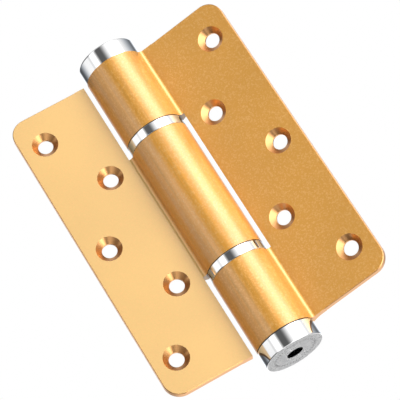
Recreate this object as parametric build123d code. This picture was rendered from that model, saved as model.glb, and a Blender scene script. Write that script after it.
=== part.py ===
from build123d import *
from math import atan2, cos, degrees, hypot, pi, radians, sin
import os

# Self-closing door hinge with a hydraulic check, in millimetres.
# The origin is on the pin axis at mid height, and +Z runs up the barrel to the plain cap.
# The frame leaf lies along +X with its countersunk face towards -Y.
# The door leaf is drawn at its rest angle, swung from -X towards -Y.

# leaves
leaf_length = 127.0
leaf_width = 47.0
leaf_thickness = 3.0
leaf_setback = 0.5
leaf_corner_radius = 6.5
leaf_edge_break = 0.25
leaf_gap_edge = 13.6
swing_from_flat = 21.5
front_fillet = 2.0
back_fillet = 8.0

# screw holes
screw_hole_diameter = 5.8
countersink_diameter = 10.0
outer_column = 37.6
inner_column = 23.2
screw_pitch = 50.0

# barrel
barrel_diameter = 23.6
barrel_bore = 17.0
middle_knuckle_length = 55.6
ring_height = 4.2
ring_bore = 19.4
ring_clearance = 0.15
ring_edge_radius = 0.3
cap_height = 7.0
cap_spigot_length = 7.0
cap_edge_radius = 1.0
face_edge_radius = 0.4
cap_seal_height = 0.5
cap_seal_diameter = 23.2
key_hole_diameter = 6.6

# clearances, and how far a cut runs past the faces it opens
fit = 0.05
loose_fit = 0.1
margin = 1.0

# cam spindle and its key
spindle_diameter = 8.4
spindle_end = -5.0
spindle_head_top = 55.0
key_width = 4.0
key_height = 3.6
key_length = 14.0
key_middle = 43.0

# oil cylinder
sleeve_bore = 14.0
upper_plug_bottom = 22.0
lower_plug_top = -21.5
guide_depth = 0.9
channel_width = 1.6
channel_depth = 0.6
port_diameter = 1.6

# piston, drawn at the height that the rest angle gives it
cam_lead = 3.2
piston_bottom_closed = -20.5
piston_length = 21.5
piston_cup_bore = 8.8
piston_base = 4.8
pin_diameter = 2.4
pin_length = 15.2
pin_height_closed = -2.0
pin_clearance = 0.15
slot_bottom = -3.5
slot_top = 9.7
check_chamber = 3.6
check_ball_diameter = 3.0
check_passage = 2.0
retainer_height = 0.6

# closing spring
spring_wire = 1.4
spring_mean_diameter = 11.0
spring_turns = 6

# valve stem, speed screw and needle
stem_diameter = 8.0
stem_top = -21.0
stem_bottom = -57.0
screw_head_diameter = 8.0
screw_head_top = -46.0
screw_head_length = 6.0
hex_across_flats = 4.0
hex_depth = 3.2
stud_diameter = 3.9
stud_top = -38.6
nut_diameter = 6.8
nut_flat = 2.6
nut_top = -36.0
nut_length = 6.5
nut_bore_top = -36.6
nut_chamber_top = -33.5
needle_diameter = 2.4
needle_tip_diameter = 0.6
needle_cone_base = -25.3
needle_cone_length = 1.8
needle_bore = 2.6
seat_diameter = 1.4
seat_height = -23.2
port_height = -24.4
circlip_thickness = 1.0
circlip_diameter = 9.0
circlip_bore = 6.0
circlip_gap = 2.0

# sealing rings
seal_section = 1.2

half_length = leaf_length / 2
barrel_radius = barrel_diameter / 2
bore_radius = barrel_bore / 2
plug_radius = bore_radius - fit
knuckle_end = middle_knuckle_length / 2
ring_end = knuckle_end + ring_height
rest_angle = 180 - swing_from_flat
piston_lift = cam_lead * radians(rest_angle)
piston_bottom = piston_bottom_closed + piston_lift
piston_top = piston_bottom + piston_length
pin_height = pin_height_closed + piston_lift


def rod(radius, bottom, top):
    return Pos(0, 0, (bottom + top) / 2) * Cylinder(radius, top - bottom)


def tube(outer, inner, bottom, top):
    return rod(outer, bottom, top) - rod(inner, bottom - margin, top + margin)


def block(x0, x1, y0, y1, z0, z1):
    centre = Pos((x0 + x1) / 2, (y0 + y1) / 2, (z0 + z1) / 2)
    return centre * Box(x1 - x0, y1 - y0, z1 - z0)


def round_edges(shape, radius, heights):
    tolerance = fit / 10
    rims = shape.edges().filter_by(GeomType.CIRCLE)
    rims = [rim for rim in rims if abs(rim.radius - barrel_radius) < tolerance]
    rims = [rim for rim in rims if any(abs(rim.center().Z - height) < tolerance for height in heights)]
    return fillet(rims, radius)


def sealing_ring(radius, height):
    return Pos(0, 0, height) * Torus(radius, seal_section / 2)


def seal_groove(outer, inner, height):
    half = seal_section / 2 + fit
    return tube(outer, inner, height - half, height + half)


def leaf_plate():
    plate = block(0, leaf_width, leaf_setback, leaf_setback + leaf_thickness, -half_length, half_length)
    corners = plate.edges().filter_by(Axis.Y).group_by(Axis.X)[-1]
    plate = fillet(corners, leaf_corner_radius)
    rims = plate.faces().sort_by(Axis.Y)
    outline = [edge for edge in rims[0].edges() + rims[-1].edges() if edge.center().X > leaf_gap_edge]
    return chamfer(outline, leaf_edge_break)


def crooks(section):
    # the corners where the stub of leaf meets the round knuckle, the front one first
    return section.vertices().filter_by(lambda corner: 0 < corner.X < barrel_radius).sort_by(Axis.Y)


def barrel_section():
    # the round knuckle with a stub of leaf, blended by a small front and a large back fillet
    stub_length = leaf_gap_edge + back_fillet / 2
    middle_of_stub = leaf_setback + leaf_thickness / 2
    stub = Pos(stub_length / 2, middle_of_stub) * Rectangle(stub_length, leaf_thickness)
    section = Circle(barrel_radius) + stub
    section = fillet(crooks(section)[0], front_fillet)
    return fillet(crooks(section)[-1], back_fillet)


def screw_hole(x, z):
    radius = screw_hole_diameter / 2
    head = countersink_diameter / 2
    front = leaf_setback
    hole = Pos(x, front, z) * Rot(-90, 0, 0) * Cylinder(radius, 4 * leaf_thickness)
    cone = Cone(head, radius, head - radius, align=(Align.CENTER, Align.CENTER, Align.MIN))
    return hole + Pos(x, front, z) * Rot(-90, 0, 0) * cone


def whole_leaf():
    leaf = leaf_plate() + extrude(barrel_section(), leaf_length / 2, both=True)
    for z in (-screw_pitch, 0, screw_pitch):
        leaf -= screw_hole(outer_column, z)
    for z in (-screw_pitch / 2, screw_pitch / 2):
        leaf -= screw_hole(inner_column, z)
    return leaf - rod(bore_radius, -leaf_length, leaf_length)


def knuckle_cut(bottom, top):
    reach = barrel_radius + margin
    return block(-reach, leaf_gap_edge, -reach, reach, bottom, top)


def key_seat():
    seat_top = key_middle + key_length / 2
    seat_bottom = key_middle - key_length / 2
    outer = bore_radius + key_height / 2
    inner = bore_radius - key_height / 2
    return block(inner, outer, -key_width / 2, key_width / 2, seat_bottom, seat_top)


def frame_leaf():
    leaf = whole_leaf() - knuckle_cut(-ring_end, ring_end)
    slot_from_above = block(0, bore_radius + key_height / 2, -key_width / 2, key_width / 2,
                            key_middle - key_length / 2, half_length - cap_spigot_length - margin)
    return leaf - slot_from_above


def at_door_angle(shape):
    return Rot(0, 0, swing_from_flat) * shape


def door_leaf():
    leaf = whole_leaf() - knuckle_cut(knuckle_end, leaf_length) - knuckle_cut(-leaf_length, -knuckle_end)
    return at_door_angle(mirror(leaf, Plane.YZ))


def upper_cap():
    cap = rod(barrel_radius, half_length, half_length + cap_height)
    cap = round_edges(cap, cap_edge_radius, [half_length + cap_height])
    return cap + rod(plug_radius, half_length - cap_spigot_length, half_length)


def lower_cap():
    top = -half_length - cap_seal_height
    cap = rod(barrel_radius, -half_length - cap_height, top)
    cap = round_edges(cap, face_edge_radius, [-half_length - cap_height])
    cap += rod(plug_radius, top, cap_spigot_length - half_length - cap_seal_height)
    return cap - rod(key_hole_diameter / 2, -leaf_length, 0)


def cap_seal():
    return tube(cap_seal_diameter / 2, bore_radius, -half_length - cap_seal_height, -half_length)


def trim_ring(side):
    ends = sorted((side * (knuckle_end + ring_clearance), side * (ring_end - ring_clearance)))
    ring = tube(barrel_radius, ring_bore / 2, *ends)
    return round_edges(ring, ring_edge_radius, ends)


def thrust_washer(side):
    ends = sorted((side * (knuckle_end + ring_clearance), side * ring_end))
    return tube(ring_bore / 2 - fit, spindle_diameter / 2 + fit, *ends)


def cam_slot():
    # a band twisted about the axis, one radian for each cam_lead of height
    helix_angle = atan2(cam_lead, spindle_diameter / 2)
    width = (pin_diameter + 2 * pin_clearance) / sin(helix_angle)
    turn_at_bottom = degrees((pin_height - slot_bottom) / cam_lead)
    total_turn = degrees((slot_top - slot_bottom) / cam_lead)
    band = Rectangle(2 * spindle_diameter, width).face()
    rise = (0, 0, slot_top - slot_bottom)
    twisted = Solid.extrude_linear_with_rotation(band, (0, 0, 0), rise, -total_turn)
    return Pos(0, 0, slot_bottom) * Rot(0, 0, turn_at_bottom) * twisted


def cam_spindle():
    spindle = rod(plug_radius, ring_end, spindle_head_top)
    spindle += rod(spindle_diameter / 2, spindle_end, ring_end)
    return spindle - key_seat() - cam_slot()


def cylinder_sleeve():
    sleeve = tube(plug_radius, sleeve_bore / 2, lower_plug_top, upper_plug_bottom)
    reach = sleeve_bore / 2 + guide_depth
    half_width = pin_diameter / 2 + loose_fit
    sleeve -= block(-reach, reach, -half_width, half_width, slot_bottom, upper_plug_bottom)
    sleeve -= block(-channel_width / 2, channel_width / 2, plug_radius - channel_depth, bore_radius,
                    lower_plug_top, upper_plug_bottom)
    port = Pos(0, bore_radius, upper_plug_bottom - channel_width) * Rot(90, 0, 0)
    return sleeve - port * Cylinder(port_diameter / 2, barrel_bore / 2)


def upper_plug():
    middle = (upper_plug_bottom + knuckle_end) / 2
    shaft = spindle_diameter / 2
    plug = tube(plug_radius, shaft + fit, upper_plug_bottom, knuckle_end)
    plug -= seal_groove(shaft + seal_section + fit, shaft, middle)
    return plug - seal_groove(bore_radius, plug_radius - seal_section, middle)


def lower_seal_height():
    return -knuckle_end + seal_section


def lower_plug():
    shaft = stem_diameter / 2
    plug = tube(plug_radius, shaft + fit, -knuckle_end, lower_plug_top)
    plug -= seal_groove(shaft + seal_section + fit, shaft, lower_seal_height())
    plug -= seal_groove(bore_radius, plug_radius - seal_section, lower_seal_height())
    half = port_diameter / 2 + fit
    plug -= tube(shaft + port_diameter / 2, shaft, port_height - half, port_height + half)
    plug -= block(-channel_width / 2, channel_width / 2, 0, bore_radius,
                  port_height - half, port_height + half)
    return plug - block(-channel_width / 2, channel_width / 2, plug_radius - channel_depth, bore_radius,
                        port_height, lower_plug_top)


def shaft_seal(shaft, height):
    return sealing_ring(shaft + fit + seal_section / 2, height)


def plug_seal(height):
    return sealing_ring(bore_radius - fit - seal_section / 2, height)


def piston():
    radius = sleeve_bore / 2 - fit
    body = rod(radius, piston_bottom, piston_top)
    body -= rod(piston_cup_bore / 2, piston_bottom + piston_base, piston_top)
    body -= Pos(0, 0, pin_height) * Rot(0, 90, 0) * Cylinder(pin_diameter / 2, pin_length)
    body -= seal_groove(radius + margin, radius - seal_section, piston_seal_height())
    body -= rod(check_chamber / 2, piston_bottom, piston_bottom + check_chamber)
    return body - rod(check_passage / 2, piston_bottom, piston_bottom + 2 * piston_base)


def piston_seal_height():
    return piston_bottom + piston_base / 2


def piston_seal():
    return sealing_ring(sleeve_bore / 2 - fit - seal_section / 2, piston_seal_height())


def cross_pin():
    pin = Cylinder(pin_diameter / 2, pin_length)
    pin = chamfer(pin.edges().filter_by(GeomType.CIRCLE), pin_clearance)
    return Pos(0, 0, pin_height) * Rot(0, 90, 0) * pin


def check_retainer():
    ring = tube(check_chamber / 2, check_passage / 2, piston_bottom, piston_bottom + retainer_height)
    notch = check_passage / 2
    half = retainer_height / 2
    above = piston_bottom + half
    return ring - block(-notch / 2, notch / 2, -check_chamber, check_chamber, above, above + half)


def check_ball():
    # it rests on the inner rim of its retainer
    rise = ((check_ball_diameter / 2) ** 2 - (check_passage / 2) ** 2) ** 0.5
    return Pos(0, 0, piston_bottom + retainer_height + rise + fit) * Sphere(check_ball_diameter / 2)


def closing_spring():
    bottom = piston_top + spring_wire / 2 + fit
    top = upper_plug_bottom - spring_wire / 2 - fit
    radius = spring_mean_diameter / 2
    coil = Helix(pitch=(top - bottom) / spring_turns, height=top - bottom, radius=radius)
    wire_section = Plane(origin=coil @ 0, z_dir=coil % 0) * Circle(spring_wire / 2)
    return Pos(0, 0, bottom) * sweep(wire_section, path=coil, is_frenet=True)


def flat_sided_rod(clearance, bottom, top):
    # the needle's nut, or with a clearance the chamber that it slides in without turning
    flat = nut_flat + clearance
    side = block(flat, nut_diameter, -nut_diameter, nut_diameter, bottom, top)
    return rod(nut_diameter / 2 + clearance, bottom, top) - side


def valve_stem():
    stem = rod(plug_radius, stem_bottom, -ring_end) + rod(stem_diameter / 2, -ring_end, stem_top)
    bore_top = screw_head_top + loose_fit
    stem -= rod(screw_head_diameter / 2 + loose_fit, stem_bottom, bore_top)
    stem -= flat_sided_rod(loose_fit, bore_top, nut_chamber_top)
    stem -= rod(needle_bore / 2, nut_chamber_top, seat_height)
    stem -= rod(seat_diameter / 2, seat_height, stem_top)
    port = Pos(0, stem_diameter / 2, port_height) * Rot(90, 0, 0)
    stem -= port * Cylinder(port_diameter / 2, stem_diameter)
    stem -= seal_groove(bore_radius, plug_radius - seal_section, stem_seal_height())
    groove = circlip_bottom()
    return stem - rod(circlip_diameter / 2 + fit, groove, groove + circlip_thickness)


def stem_seal_height():
    return (stem_bottom + screw_head_top) / 2 + screw_head_length


def circlip_bottom():
    return screw_head_top - screw_head_length - circlip_thickness - loose_fit


def circlip():
    bottom = circlip_bottom() + fit
    top = circlip_bottom() + circlip_thickness - fit
    ring = tube(circlip_diameter / 2, circlip_bore / 2, bottom, top)
    return ring - block(0, circlip_diameter, -circlip_gap / 2, circlip_gap / 2, bottom, top)


def speed_screw():
    bottom = screw_head_top - screw_head_length
    screw = rod(screw_head_diameter / 2, bottom, screw_head_top)
    screw += rod(stud_diameter / 2, screw_head_top, stud_top)
    socket = extrude(RegularPolygon(hex_across_flats / 2, 6, major_radius=False), hex_depth)
    screw -= Pos(0, 0, bottom) * socket
    groove_radius = screw_head_diameter / 2 - seal_section
    return screw - seal_groove(screw_head_diameter, groove_radius, adjuster_seal_height())


def adjuster_seal_height():
    return screw_head_top - seal_section


def adjuster_seal():
    return sealing_ring(screw_head_diameter / 2 - seal_section / 2, adjuster_seal_height())


def needle():
    nut = flat_sided_rod(0, nut_top - nut_length, nut_top)
    nut -= rod(stud_diameter / 2 + loose_fit, nut_top - nut_length, nut_bore_top)
    shaft = rod(needle_diameter / 2, nut_top, needle_cone_base)
    tip = Cone(needle_diameter / 2, needle_tip_diameter / 2, needle_cone_length)
    return nut + shaft + Pos(0, 0, needle_cone_base + needle_cone_length / 2) * tip


parts = {
    "frame_leaf": frame_leaf(),
    "door_leaf": door_leaf(),
    "upper_cap": upper_cap(),
    "lower_cap": lower_cap(),
    "cap_seal": cap_seal(),
    "upper_ring": trim_ring(1),
    "lower_ring": trim_ring(-1),
    "upper_thrust_washer": thrust_washer(1),
    "lower_thrust_washer": thrust_washer(-1),
    "cam_spindle": cam_spindle(),
    "spindle_key": key_seat(),
    "cylinder_sleeve": cylinder_sleeve(),
    "upper_plug": upper_plug(),
    "lower_plug": lower_plug(),
    "upper_shaft_seal": shaft_seal(spindle_diameter / 2, (upper_plug_bottom + knuckle_end) / 2),
    "lower_shaft_seal": shaft_seal(stem_diameter / 2, lower_seal_height()),
    "upper_plug_seal": plug_seal((upper_plug_bottom + knuckle_end) / 2),
    "lower_plug_seal": plug_seal(lower_seal_height()),
    "piston": piston(),
    "piston_seal": piston_seal(),
    "cross_pin": cross_pin(),
    "check_ball": check_ball(),
    "check_retainer": check_retainer(),
    "closing_spring": closing_spring(),
    "valve_stem": valve_stem(),
    "stem_seal": plug_seal(stem_seal_height()),
    "speed_screw": speed_screw(),
    "adjuster_seal": adjuster_seal(),
    "circlip": circlip(),
    "needle": needle(),
}

os.makedirs("parts", exist_ok=True)
for name, shape in parts.items():
    export_step(shape, f"parts/{name}.step")
    print(name, round(shape.volume, 2))
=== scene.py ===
from math import atan2, cos, radians, sin
import bpy
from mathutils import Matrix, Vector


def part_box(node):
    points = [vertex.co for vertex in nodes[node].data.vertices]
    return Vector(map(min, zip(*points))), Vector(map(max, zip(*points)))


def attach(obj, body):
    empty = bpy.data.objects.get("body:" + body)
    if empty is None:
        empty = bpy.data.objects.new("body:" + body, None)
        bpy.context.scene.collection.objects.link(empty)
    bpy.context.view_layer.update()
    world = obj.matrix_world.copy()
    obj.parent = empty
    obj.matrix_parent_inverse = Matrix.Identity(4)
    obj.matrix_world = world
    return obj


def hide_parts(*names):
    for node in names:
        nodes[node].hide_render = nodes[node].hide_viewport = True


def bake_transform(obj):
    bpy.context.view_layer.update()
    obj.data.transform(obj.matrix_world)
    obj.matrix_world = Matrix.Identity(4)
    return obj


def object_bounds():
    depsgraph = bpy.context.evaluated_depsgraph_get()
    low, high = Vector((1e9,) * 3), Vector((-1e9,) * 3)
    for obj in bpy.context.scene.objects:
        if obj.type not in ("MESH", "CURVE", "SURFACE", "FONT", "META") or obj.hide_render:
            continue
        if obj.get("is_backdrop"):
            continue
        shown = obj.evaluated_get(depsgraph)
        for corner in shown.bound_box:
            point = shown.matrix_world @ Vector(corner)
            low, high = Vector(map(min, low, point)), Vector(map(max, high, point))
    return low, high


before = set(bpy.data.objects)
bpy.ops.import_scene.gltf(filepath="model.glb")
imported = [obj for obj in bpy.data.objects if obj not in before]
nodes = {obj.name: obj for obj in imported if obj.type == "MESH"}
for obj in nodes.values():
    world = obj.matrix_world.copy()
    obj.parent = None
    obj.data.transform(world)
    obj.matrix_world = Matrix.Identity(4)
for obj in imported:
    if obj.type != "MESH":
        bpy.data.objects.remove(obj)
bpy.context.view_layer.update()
scene = bpy.context.scene
print("frame loaded:", len(nodes), "nodes")


# camera, low in front of the hinge and rolled so that the barrel leans across the view

cameraSetup = {
    "place": (0.14144, -0.75433, -0.31857),   # metres
    "turn": (116.228, 29.964, 24.377),        # degrees
    "lens": 201.17,                           # mm
    "sensor": 36.0,                           # mm
}


def makeCamera(setup):
    data = bpy.data.cameras.new("camera")
    data.lens = setup["lens"]
    data.sensor_width = setup["sensor"]
    data.clip_start = 0.01
    camera = bpy.data.objects.new("camera", data)
    camera.location = setup["place"]
    camera.rotation_euler = [radians(angle) for angle in setup["turn"]]
    scene.collection.objects.link(camera)
    scene.camera = camera


makeCamera(cameraSetup)
viewAzimuth = atan2(cameraSetup["place"][0], -cameraSetup["place"][1])
print("camera placed")


# node tree helpers

def feed(tree, socket, value):
    if isinstance(value, bpy.types.NodeSocket):
        tree.links.new(value, socket)
    else:
        socket.default_value = value


def addNode(tree, kind, settings=None, **inputs):
    # i0, i1 and so on mean an input by its place, other words an input by its name
    node = tree.nodes.new(kind)
    for name, value in (settings or {}).items():
        setattr(node, name, value)
    for name, value in inputs.items():
        place = int(name[1:]) if name[1:].isdigit() else name.replace("_", " ")
        feed(tree, node.inputs[place], value)
    return node


def calc(tree, operation, a, b=0.0, c=0.0):
    return addNode(tree, "ShaderNodeMath", {"operation": operation}, i0=a, i1=b, i2=c).outputs[0]


def ramp(tree, value, low, high, first=0.0, last=1.0, smooth=True):
    kind = "SMOOTHSTEP" if smooth else "LINEAR"
    node = addNode(tree, "ShaderNodeMapRange", {"interpolation_type": kind}, Value=value,
                   From_Min=low, From_Max=high, To_Min=first, To_Max=last)
    return node.outputs[0]


def spread(tree, pattern, low, high):
    # stretches the middle of a noise pattern, where most of it lies, over low to high
    return ramp(tree, pattern, 0.3, 0.7, low, high)


def noise(tree, vector, scale, detail=2.0, roughness=0.5):
    node = addNode(tree, "ShaderNodeTexNoise", Vector=vector, Scale=scale, Detail=detail, Roughness=roughness)
    return node.outputs[0]


def stretched(tree, vector, scale):
    return addNode(tree, "ShaderNodeMapping", Vector=vector, Scale=scale).outputs[0]


def mixNumbers(tree, share, first, second):
    return addNode(tree, "ShaderNodeMix", i0=share, i2=first, i3=second).outputs[0]


def mixColors(tree, share, first, second):
    node = addNode(tree, "ShaderNodeMix", {"data_type": "RGBA", "clamp_result": False})
    for name, value in (("Factor_Float", share), ("A_Color", first), ("B_Color", second)):
        feed(tree, next(s for s in node.inputs if s.identifier == name), value)
    return next(s for s in node.outputs if s.identifier == "Result_Color")


def dot(tree, first, second):
    node = addNode(tree, "ShaderNodeVectorMath", {"operation": "DOT_PRODUCT"}, i0=first, i1=second)
    return node.outputs["Value"]


def axisPart(tree, vector, axis):
    return addNode(tree, "ShaderNodeSeparateXYZ", Vector=vector).outputs[axis]


def steepness(tree, normal):
    # 0 on an upright face, 1 on one that faces straight up or down
    return calc(tree, "ABSOLUTE", axisPart(tree, normal, "Z"))


def axisRadius(tree, point):
    flat = addNode(tree, "ShaderNodeVectorMath", {"operation": "MULTIPLY"}, i0=point, i1=(1, 1, 0))
    length = addNode(tree, "ShaderNodeVectorMath", {"operation": "LENGTH"}, i0=flat.outputs[0])
    return length.outputs["Value"]


def startMaterial(name, **values):
    material = bpy.data.materials.new(name)
    material.use_nodes = True
    tree = material.node_tree
    tree.nodes.clear()
    shader = addNode(tree, "ShaderNodeBsdfPrincipled", **values)
    output = addNode(tree, "ShaderNodeOutputMaterial")
    tree.links.new(shader.outputs[0], output.inputs["Surface"])
    coords = addNode(tree, "ShaderNodeTexCoord")
    return material, tree, shader, coords.outputs["Object"]


def plug(tree, shader, **sockets):
    for name, socket in sockets.items():
        tree.links.new(socket, shader.inputs[name.replace("_", " ")])


def bump(tree, height, distance, strength=1.0):
    return addNode(tree, "ShaderNodeBump", Height=height, Distance=distance, Strength=strength).outputs[0]


def rgba(color):
    return (*color, 1.0)


def paint(material, *names):
    for name in names:
        for slot in nodes[name].material_slots:
            slot.material = material


# studio: soft panels around the hinge, white for the camera itself

studio = {
    "room": 0.1,                                 # brightness between the panels
    "overhead": 0.5,                             # brightness of the ceiling
    "overheadHeights": (0.75, 0.95),             # it fades in between these, as sines of the height angle
    "under": 0.2,                                # bounce from below
    "underHeights": (-0.15, -0.6),
    "stripHeights": (0.22, 0.34, 0.43, 0.56),    # a level strip of the panels: fade in, full, full, fade out
    "panels": {
        # degrees round from the camera, + to its right: fade in, full, full, fade out
        # then the strength, and the share of it outside the strip
        "leftStrip": (-130, -78, -64, -48, 0.95, 0.0),
        "leftPanel": (-60, -45, -36, -19, 1.3, 1.0),
        "rightPanel": (-4, 26, 55, 150, 1.0, 1.0),
        "keyPanel": (20, 42, 57, 80, 3.0, 1.0),
        "backPanel": (135, 160, 202, 220, 1.15, 1.0),
    },
}


def panelLight(tree, direction, strip, fadeIn, start, end, fadeOut, strength, outside):
    # one side of the panel at a time, each measured from the panel's middle
    middle = (start + end) / 2
    toMiddle = viewAzimuth + radians(middle)
    ahead = (sin(toMiddle), -cos(toMiddle), 0.0)
    aside = (cos(toMiddle), sin(toMiddle), 0.0)
    angle = calc(tree, "ARCTAN2", dot(tree, direction, aside), dot(tree, direction, ahead))
    rise = ramp(tree, angle, radians(fadeIn - middle), radians(start - middle))
    fall = ramp(tree, angle, radians(end - middle), radians(fadeOut - middle), 1.0, 0.0)
    level = ramp(tree, strip, 0.0, 1.0, strength * outside, strength, smooth=False)
    return calc(tree, "MULTIPLY", calc(tree, "MULTIPLY", rise, fall), level)


def makeStudio(setup):
    world = bpy.data.worlds.new("studio")
    world.use_nodes = True
    scene.world = world
    tree = world.node_tree
    tree.nodes.clear()
    direction = addNode(tree, "ShaderNodeTexCoord").outputs["Generated"]
    height = axisPart(tree, direction, "Z")
    fadeIn, start, end, fadeOut = setup["stripHeights"]
    rise = ramp(tree, height, fadeIn, start)
    fall = ramp(tree, height, end, fadeOut, 1.0, 0.0)
    strip = calc(tree, "MULTIPLY", rise, fall)
    light = setup["room"]
    for panel in setup["panels"].values():
        light = calc(tree, "ADD", light, panelLight(tree, direction, strip, *panel))
    light = mixNumbers(tree, ramp(tree, height, *setup["overheadHeights"]), light, setup["overhead"])
    bounce = calc(tree, "MULTIPLY", ramp(tree, height, *setup["underHeights"]), setup["under"])
    light = calc(tree, "MAXIMUM", light, bounce)
    seen = addNode(tree, "ShaderNodeLightPath").outputs["Is Camera Ray"]
    strength = mixNumbers(tree, seen, light, 1.0)      # plain white where the camera looks past the hinge
    background = addNode(tree, "ShaderNodeBackground", Color=(1, 1, 1, 1), Strength=strength)
    output = addNode(tree, "ShaderNodeOutputWorld")
    tree.links.new(background.outputs[0], output.inputs["Surface"])
    scene.view_settings.view_transform = "Standard"


makeStudio(studio)

floorSetup = {
    "size": 3.0,                         # metres
    "tones": ((0.86, 0.86, 0.855), (0.9, 0.9, 0.9)),
    "grainScale": 400.0,
    "fade": (0.25, 0.9),                 # metres from the pin axis: solid up to, clear from
}


def makeFloor(setup):
    half = setup["size"] / 2
    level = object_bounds()[0][2]
    mesh = bpy.data.meshes.new("floor")
    corners = [(-half, -half), (half, -half), (half, half), (-half, half)]
    mesh.from_pydata([(x, y, level) for x, y in corners], [], [(0, 1, 2, 3)])
    floor = bpy.data.objects.new("floor", mesh)
    scene.collection.objects.link(floor)
    material = bpy.data.materials.new("palePaper")
    material.use_nodes = True
    tree = material.node_tree
    tree.nodes.clear()
    point = addNode(tree, "ShaderNodeTexCoord").outputs["Object"]
    away = ramp(tree, axisRadius(tree, point), *setup["fade"])
    grain = noise(tree, point, setup["grainScale"], 3.0)
    tone = mixColors(tree, grain, *[rgba(tone) for tone in setup["tones"]])
    paper = addNode(tree, "ShaderNodeBsdfDiffuse", Color=tone)
    clear = addNode(tree, "ShaderNodeBsdfTransparent")
    under = addNode(tree, "ShaderNodeNewGeometry").outputs["Backfacing"]
    hidden = calc(tree, "MAXIMUM", away, under)        # so the floor is clear from below
    mixed = addNode(tree, "ShaderNodeMixShader", i0=hidden, i1=paper.outputs[0], i2=clear.outputs[0])
    output = addNode(tree, "ShaderNodeOutputMaterial")
    tree.links.new(mixed.outputs[0], output.inputs["Surface"])
    mesh.materials.append(material)
    floor.visible_glossy = False
    floor.visible_diffuse = False
    floor.visible_shadow = False
    floor.visible_transmission = False
    floor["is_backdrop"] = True


makeFloor(floorSetup)
print("studio ready")


# gold anodised leaves: fine blasted plate, smoother drawn barrel, with painted shade in the notch ends and
# countersinks and a painted sheen on the door plate

goldSkin = {                             # the same on both leaves, lengths in metres
    "barrelEdge": 0.0122,                # the plate begins this far from the pin axis
    "notchEdge": 0.0141,                 # the notches' ends lie within this distance of it
    "notchTop": 0.04,                    # and no further up or down than this
    "edgeBlend": 0.0002,
    "notchBlend": 0.001,
    "flatFrom": (0.8, 0.95),             # how squarely a surface faces, before it counts as a flat face
    "grainScale": 1500.0,
    "sparkleScale": 2200.0,
    "drawnScale": 900.0,
    "drawnStretch": (1.0, 1.0, 0.03),    # streaks run along the barrel
    "cloudScale": 28.0,
    "streak": (0.92, 1.08),              # brightness of the streaks, then of the clouds
    "cloud": (0.97, 1.03),
    "roughness": (0.6, 0.68),            # from speck to speck
    "cutRoughness": 0.3,
    "grainHeight": 0.00002,
    "barrelGrain": 0.3,                  # share of that height on the barrel
}

goldFinish = {
    "frame": {
        "plate": (0.8, 0.41, 0.05),
        "barrel": (0.73, 0.355, 0.03),
        "cut": (0.58, 0.25, 0.03),       # countersinks and edges: a deeper gold, partly their machined finish, partly painted shade for the countersinks
        "paintedNotchShade": (0.1, 0.055, 0.03),      # painted shade, near black, on the ends of the notches round the other knuckle
        "glint": (0.9, 0.58, 0.2),
        "grainDepth": 0.3,
        "plateSpeckle": 0.7,
        "barrelSpeckle": 0.6,
        "faceTurn": 0.0,                 # degrees from -Y to the countersunk face
    },
    "door": {
        # less red and less saturated than the frame's plate: painted sheen on the same anodised finish
        "plate": (0.66, 0.42, 0.115),
        "barrel": (0.73, 0.355, 0.03),
        "cut": (0.62, 0.27, 0.035),
        "paintedNotchShade": (0.1, 0.055, 0.03),
        "glint": (0.78, 0.47, 0.15),
        "grainDepth": 0.18,
        "plateSpeckle": 0.4,
        "barrelSpeckle": 0.9,
        "faceTurn": 21.5,
    },
}


def cutMask(tree, normal, onPlate, skin, faceTurn):
    # plate surfaces that are neither its front nor its back
    turn = radians(faceTurn)
    facing = dot(tree, normal, (sin(turn), -cos(turn), 0.0))
    flat = ramp(tree, calc(tree, "ABSOLUTE", facing), *skin["flatFrom"])
    return calc(tree, "MULTIPLY", onPlate, calc(tree, "SUBTRACT", 1.0, flat))


def paintedNotchShadeMask(tree, point, normal, radius, skin):
    # painted shade on the ends of the notches, close to the barrel and to mid height
    level = calc(tree, "ABSOLUTE", axisPart(tree, point, "Z"))
    ends = ramp(tree, steepness(tree, normal), *skin["flatFrom"])
    close = ramp(tree, radius, skin["notchEdge"], skin["notchEdge"] + skin["edgeBlend"], 1.0, 0.0)
    middle = ramp(tree, level, skin["notchTop"], skin["notchTop"] + skin["notchBlend"], 1.0, 0.0)
    return calc(tree, "MULTIPLY", ends, calc(tree, "MULTIPLY", close, middle))


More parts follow.
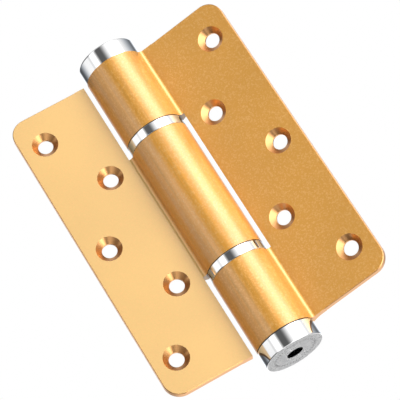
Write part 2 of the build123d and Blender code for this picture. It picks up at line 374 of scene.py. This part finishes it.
def goldMaterial(name, skin, finish):
    material, tree, shader, point = startMaterial(
        name, Metallic=1.0, Coat_Weight=1.0, Coat_Roughness=0.3, Coat_IOR=1.95,
        Specular_Tint=(1.0, 0.7, 0.4, 1.0))
    radius = axisRadius(tree, point)
    normal = addNode(tree, "ShaderNodeTexCoord").outputs["Normal"]
    edge, blend = skin["barrelEdge"], skin["edgeBlend"]
    onPlate = ramp(tree, radius, edge - blend, edge + blend)
    cut = cutMask(tree, normal, onPlate, skin, finish["faceTurn"])
    paintedNotchShade = paintedNotchShadeMask(tree, point, normal, radius, skin)

    grain = noise(tree, point, skin["grainScale"], 2.0, 0.6)
    sparkle = addNode(tree, "ShaderNodeTexVoronoi", Vector=point, Scale=skin["sparkleScale"])
    cell = addNode(tree, "ShaderNodeSeparateColor", Color=sparkle.outputs["Color"]).outputs[0]
    drawn = noise(tree, stretched(tree, point, skin["drawnStretch"]), skin["drawnScale"], 3.0, 0.6)
    cloud = noise(tree, point, skin["cloudScale"])

    # specks show where a bright cell meets a high grain
    share = ramp(tree, onPlate, 0.0, 1.0, finish["barrelSpeckle"], finish["plateSpeckle"])
    speck = calc(tree, "MULTIPLY", ramp(tree, cell, 0.4, 0.9), share)
    speck = calc(tree, "MULTIPLY", speck, ramp(tree, grain, 0.3, 0.6))

    base = mixColors(tree, onPlate, rgba(finish["barrel"]), rgba(finish["plate"]))
    base = mixColors(tree, speck, base, rgba(finish["glint"]))
    # machined gold on cut surfaces, darkened with painted shade for the countersinks
    base = mixColors(tree, cut, base, rgba(finish["cut"]))
    # painted shade, near black, on the notch ends
    base = mixColors(tree, paintedNotchShade, base, rgba(finish["paintedNotchShade"]))
    streak = mixNumbers(tree, onPlate, spread(tree, drawn, *skin["streak"]), 1.0)
    tone = calc(tree, "MULTIPLY", streak, spread(tree, cloud, *skin["cloud"]))
    toned = addNode(tree, "ShaderNodeVectorMath", {"operation": "SCALE"}, i0=base, Scale=tone).outputs[0]
    plug(tree, shader, Base_Color=toned)

    rough = ramp(tree, cell, 0.0, 1.0, *skin["roughness"], smooth=False)
    plug(tree, shader, Roughness=mixNumbers(tree, cut, rough, skin["cutRoughness"]))
    height = calc(tree, "MULTIPLY", grain, ramp(tree, onPlate, 0.0, 1.0, skin["barrelGrain"], 1.0))
    plug(tree, shader, Normal=bump(tree, height, skin["grainHeight"], finish["grainDepth"]))
    return material


paint(goldMaterial("frameGold", goldSkin, goldFinish["frame"]), "frame_leaf")
paint(goldMaterial("doorGold", goldSkin, goldFinish["door"]), "door_leaf")
print("gold leaves finished")


# chrome caps and rings, with a satin face below and painted shade beside the leaves

chromeFinish = {
    "bright": (0.98, 0.98, 0.985),
    "leafAngles": (0.0, 201.5),          # degrees round the barrel from +X
    "shadedHalf": (16.0, 38.0),          # degrees from the leaf: full shade, none
    "capPaintedShade": (0.76, 0.82, 0.9),       # painted shade: darker, bluer tint beside the leaves' rest places, so the gold reflected there turns grey
    "ringPaintedShade": (0.36, 0.42, 0.5),
    "sideSlope": (0.4, 0.9),             # the painted shade fades as the rim rounds over, by the normal's height
    "satin": (0.68, 0.68, 0.685),        # the lower cap's turned face
    "satinSlope": (0.93, 0.99),
    "polished": (0.035, 0.07),           # roughness
    "turned": (0.34, 0.44),
    "smudgeScale": 160.0,
    "ringScale": 5000.0,
    "ringHeight": 0.000004,              # metres
}


# painted shade: 1 where the chrome lies beside either leaf's rest place round the barrel, 0 away from it
def paintedLeafShade(tree, point, radius, finish):
    full, none = [cos(radians(half)) for half in finish["shadedHalf"]]
    x, y = axisPart(tree, point, "X"), axisPart(tree, point, "Y")
    shade = 0.0
    for angle in finish["leafAngles"]:
        toLeaf = calc(tree, "MULTIPLY", x, cos(radians(angle)))
        toLeaf = calc(tree, "MULTIPLY_ADD", y, sin(radians(angle)), toLeaf)
        shade = calc(tree, "MAXIMUM", ramp(tree, calc(tree, "DIVIDE", toLeaf, radius), none, full), shade)
    return shade


def chromeMaterial(name, finish, shaded):
    material, tree, shader, point = startMaterial(name, Metallic=1.0)
    radius = axisRadius(tree, point)
    normal = addNode(tree, "ShaderNodeTexCoord").outputs["Normal"]
    side = ramp(tree, steepness(tree, normal), *finish["sideSlope"], 1.0, 0.0)
    shade = calc(tree, "MULTIPLY", paintedLeafShade(tree, point, radius, finish), side)
    downward = calc(tree, "MULTIPLY", axisPart(tree, normal, "Z"), -1.0)
    satin = ramp(tree, downward, *finish["satinSlope"])
    # painted shade mixed into the chrome beside the leaves
    base = mixColors(tree, shade, rgba(finish["bright"]), rgba(shaded))
    plug(tree, shader, Base_Color=mixColors(tree, satin, base, rgba(finish["satin"])))

    smudge = noise(tree, point, finish["smudgeScale"], 3.0, 0.6)
    outward = addNode(tree, "ShaderNodeCombineXYZ", X=radius).outputs[0]
    rings = noise(tree, outward, finish["ringScale"], 3.0)
    polished = spread(tree, smudge, *finish["polished"])
    turned = spread(tree, rings, *finish["turned"])
    plug(tree, shader, Roughness=mixNumbers(tree, satin, polished, turned))
    plug(tree, shader, Normal=bump(tree, calc(tree, "MULTIPLY", rings, satin), finish["ringHeight"], 0.5))
    return material


paint(chromeMaterial("capChrome", chromeFinish, chromeFinish["capPaintedShade"]), "upper_cap", "lower_cap")
paint(chromeMaterial("ringChrome", chromeFinish, chromeFinish["ringPaintedShade"]), "upper_ring", "lower_ring")


# steel, brass, plastic and rubber, nearly all of it inside the barrel

innerMetals = {
    "groundSteel": {
        "color": (0.56, 0.57, 0.58), "roughness": 0.28, "lineScale": 3000.0, "lineHeight": 0.000003,
        "pieces": ("cam_spindle", "spindle_key", "cylinder_sleeve", "cross_pin", "check_ball", "valve_stem",
                   "speed_screw", "needle", "circlip"),
    },
    "oiledSpringWire": {
        "color": (0.20, 0.21, 0.24), "roughness": 0.35, "lineScale": 1800.0, "lineHeight": 0.000004,
        "pieces": ("closing_spring",),
    },
    "turnedBrass": {
        "color": (0.78, 0.55, 0.24), "roughness": 0.3, "lineScale": 2600.0, "lineHeight": 0.000004,
        "pieces": ("upper_plug", "lower_plug", "piston", "check_retainer"),
    },
}

dullParts = {
    "whiteAcetal": {
        "color": (0.7, 0.69, 0.64), "roughness": 0.4, "grainScale": 900.0, "grainHeight": 0.000004,
        "sheen": 0.0, "pieces": ("upper_thrust_washer", "lower_thrust_washer"),
    },
    "nitrileRubber": {
        "color": (0.018, 0.018, 0.018), "roughness": 0.6, "grainScale": 1500.0, "grainHeight": 0.00001,
        "sheen": 0.1, "pieces": ("cap_seal", "upper_shaft_seal", "lower_shaft_seal", "upper_plug_seal",
                                 "lower_plug_seal", "piston_seal", "stem_seal", "adjuster_seal"),
    },
}


def turnedMetal(name, color, roughness, lineScale, lineHeight):
    material, tree, shader, point = startMaterial(name, Metallic=1.0)
    lines = noise(tree, stretched(tree, point, (0.03, 0.03, 1.0)), lineScale, 3.0, 0.6)
    stain = noise(tree, point, 120.0, 3.0)
    dark = [0.8 * part for part in color]
    plug(tree, shader, Base_Color=mixColors(tree, spread(tree, stain, 0.0, 1.0), rgba(dark), rgba(color)))
    plug(tree, shader, Roughness=spread(tree, lines, roughness - 0.06, roughness + 0.06))
    plug(tree, shader, Normal=bump(tree, lines, lineHeight))
    return material


def dullMaterial(name, color, roughness, grainScale, grainHeight, sheen):
    material, tree, shader, point = startMaterial(name, Sheen_Weight=sheen)
    grain = noise(tree, point, grainScale, 4.0, 0.6)
    light = [min(1.0, 1.25 * part) for part in color]
    plug(tree, shader, Base_Color=mixColors(tree, spread(tree, grain, 0.0, 1.0), rgba(color), rgba(light)))
    plug(tree, shader, Roughness=spread(tree, grain, roughness - 0.08, roughness + 0.08))
    plug(tree, shader, Normal=bump(tree, grain, grainHeight))
    return material


for name, metal in innerMetals.items():
    finish = turnedMetal(name, metal["color"], metal["roughness"], metal["lineScale"], metal["lineHeight"])
    paint(finish, *metal["pieces"])

for name, part in dullParts.items():
    finish = dullMaterial(name, part["color"], part["roughness"], part["grainScale"], part["grainHeight"],
                          part["sheen"])
    paint(finish, *part["pieces"])
print("metal, plastic and rubber finished")


# thin dark marks on the lower cap's face: a plain scale around the key hole, made with Geometry Nodes

faceMarks = {
    "count": 40,
    "radius": 0.0083,      # metres, as are the next three
    "length": 0.0011,
    "width": 0.00028,
    "depth": 0.00004,      # half of it stands out of the face
    "fade": 0.45,          # share of their length that the marks lose round the ring
    "color": (0.09, 0.09, 0.095),
}


def startTree(name, kinds):
    tree = bpy.data.node_groups.new(name, "GeometryNodeTree")
    tree.interface.new_socket(name="Geometry", in_out="OUTPUT", socket_type="NodeSocketGeometry")
    sockets = {}
    for label, kind in kinds.items():
        socket = tree.interface.new_socket(name=label, in_out="INPUT", socket_type="NodeSocket" + kind)
        sockets[label.lower()] = socket.identifier
    return tree, sockets, addNode(tree, "NodeGroupInput").outputs


def endTree(tree, geometry, material):
    realized = addNode(tree, "GeometryNodeRealizeInstances", Geometry=geometry)
    finished = addNode(tree, "GeometryNodeSetMaterial", Geometry=realized.outputs[0], Material=material)
    output = addNode(tree, "NodeGroupOutput")
    tree.links.new(finished.outputs[0], output.inputs[0])


def meshFromTree(name, tree, sockets, values):
    carrier = bpy.data.objects.new("carrier", bpy.data.meshes.new("carrier"))
    scene.collection.objects.link(carrier)
    modifier = carrier.modifiers.new("nodes", "NODES")
    modifier.node_group = tree
    for label, identifier in sockets.items():
        modifier[identifier] = values[label]
    bpy.context.view_layer.update()
    evaluated = carrier.evaluated_get(bpy.context.evaluated_depsgraph_get())
    mesh = bpy.data.meshes.new_from_object(evaluated)
    carrier.modifiers.remove(modifier)
    bpy.data.objects.remove(carrier)
    mesh.name = name
    blank = [place for place, material in enumerate(mesh.materials) if material is None]
    for place in reversed(blank):
        mesh.materials.pop(index=place)
    piece = bpy.data.objects.new(name, mesh)
    scene.collection.objects.link(piece)
    return piece


def makeFaceMarks(setup):
    material = turnedMetal("etchedMark", setup["color"], roughness=0.5, lineScale=2500.0, lineHeight=0.000002)
    tree, sockets, given = startTree("faceMarks", {
        "Count": "Int", "Radius": "Float", "Length": "Float", "Width": "Float", "Depth": "Float",
        "Fade": "Float", "Level": "Float"})
    circle = addNode(tree, "GeometryNodeMeshCircle", Vertices=given["Count"], Radius=given["Radius"])
    size = addNode(tree, "ShaderNodeCombineXYZ", X=given["Length"], Y=given["Width"], Z=given["Depth"])
    mark = addNode(tree, "GeometryNodeMeshCube", Size=size.outputs[0])
    place = addNode(tree, "GeometryNodeInputPosition").outputs[0]
    outward = addNode(tree, "FunctionNodeAlignRotationToVector", {"axis": "X"}, Vector=place)
    order = addNode(tree, "GeometryNodeInputIndex").outputs[0]
    share = calc(tree, "DIVIDE", order, given["Count"])
    short = calc(tree, "SUBTRACT", 1.0, calc(tree, "MULTIPLY", share, given["Fade"]))
    stretch = addNode(tree, "ShaderNodeCombineXYZ", X=short, Y=1.0, Z=1.0)
    marks = addNode(tree, "GeometryNodeInstanceOnPoints", Points=circle.outputs[0], Instance=mark.outputs[0],
                    Rotation=outward.outputs[0], Scale=stretch.outputs[0])
    drop = addNode(tree, "ShaderNodeCombineXYZ", Z=given["Level"])
    lowered = addNode(tree, "GeometryNodeTransform", Geometry=marks.outputs[0], Translation=drop.outputs[0])
    endTree(tree, lowered.outputs[0], material)
    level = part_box("lower_cap")[0][2]
    marks = meshFromTree("face_marks", tree, sockets, {**setup, "level": level})
    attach(marks, "frame")


makeFaceMarks(faceMarks)
print("face marks laid out")


# closing spring, between the piston and the upper plug

closingSpring = {
    "turns": 6.0,
    "wire": 0.0007,        # radius in metres
    "steps": 40,           # per turn
    "around": 12,          # sides of the wire's section
}


def makeSpring(setup):
    tree, sockets, given = startTree("closingSpring", {
        "Turns": "Float", "Wire": "Float", "Steps": "Int", "Around": "Int", "Radius": "Float",
        "Rise": "Float", "Bottom": "Float"})
    coil = addNode(tree, "GeometryNodeCurveSpiral", Resolution=given["Steps"], Rotations=given["Turns"],
                   Start_Radius=given["Radius"], End_Radius=given["Radius"], Height=given["Rise"])
    section = addNode(tree, "GeometryNodeCurvePrimitiveCircle", Resolution=given["Around"],
                      Radius=given["Wire"])
    wire = addNode(tree, "GeometryNodeCurveToMesh", Curve=coil.outputs[0], Profile_Curve=section.outputs[0],
                   Fill_Caps=True)
    smooth = addNode(tree, "GeometryNodeSetShadeSmooth", Geometry=wire.outputs[0])
    lift = addNode(tree, "ShaderNodeCombineXYZ", Z=given["Bottom"])
    raised = addNode(tree, "GeometryNodeTransform", Geometry=smooth.outputs[0], Translation=lift.outputs[0])
    endTree(tree, raised.outputs[0], bpy.data.materials["oiledSpringWire"])
    low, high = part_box("closing_spring")
    bottom = low[2] + setup["wire"]
    top = high[2] - setup["wire"]
    spring = meshFromTree("pressed_coil", tree, sockets, {
        **setup, "radius": high[0] - setup["wire"], "rise": top - bottom, "bottom": bottom})
    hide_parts("closing_spring")
    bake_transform(spring)


makeSpring(closingSpring)
print("closing spring wound")
